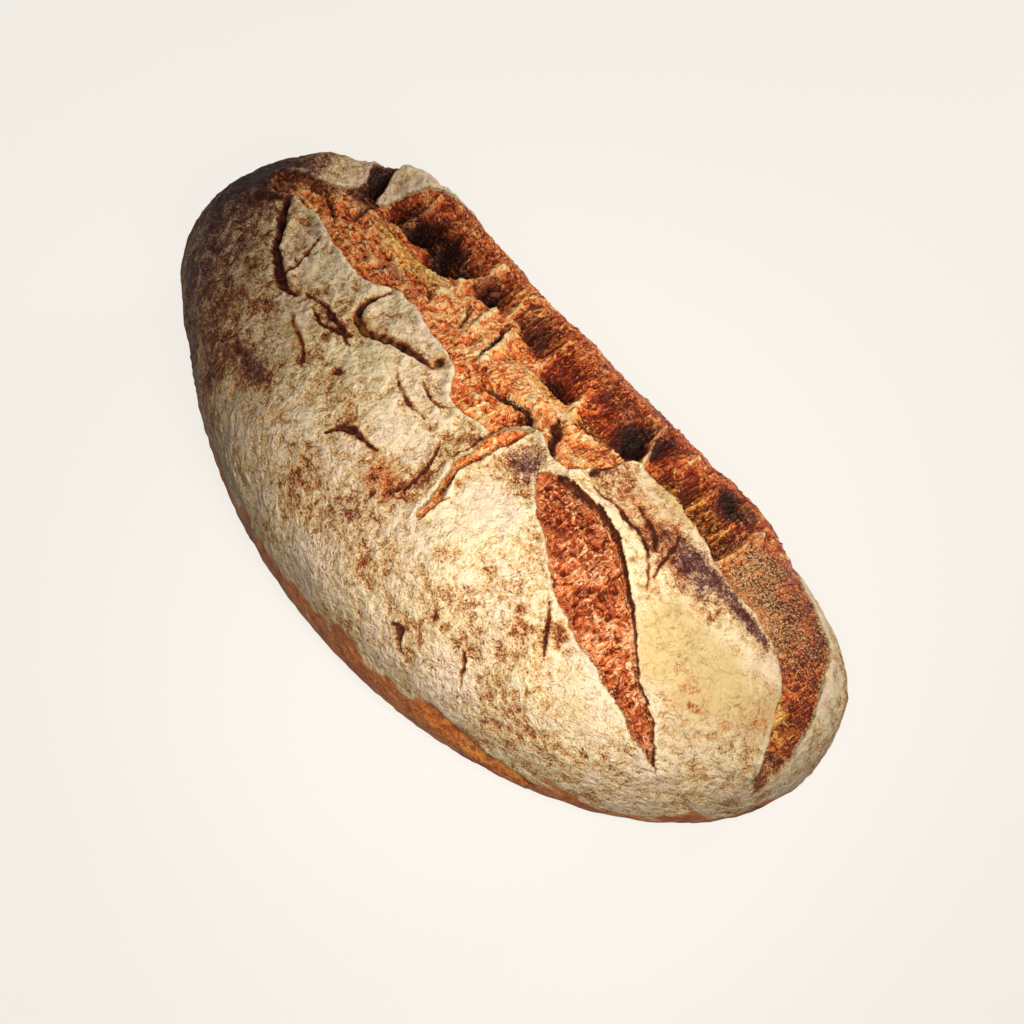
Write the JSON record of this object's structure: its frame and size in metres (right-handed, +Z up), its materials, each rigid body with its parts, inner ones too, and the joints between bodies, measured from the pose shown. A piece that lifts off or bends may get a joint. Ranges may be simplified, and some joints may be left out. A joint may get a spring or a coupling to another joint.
{
  "type": "sourdough loaf",
  "caption": "Long hand-shaped sourdough loaf with a flat sole, a floured domed crust, a wide torn split along the crown and a short leaf-shaped score beside it.",
  "frame": {"origin": "middle of the loaf's bounding box, on the table under the flat sole", "axes": "+X along the loaf towards its lower end, where the torn split narrows and the floured pad lies; +Y towards the side behind the main split; +Z up from the sole to the crown"},
  "size_m": [0.32, 0.1402, 0.0962],
  "materials": {
    "crust": "matt baked crust, dusted with flour and bare along the splits"
  },
  "bodies": {
    "root": {"loaf": "crust"}
  },
  "joints": []
}
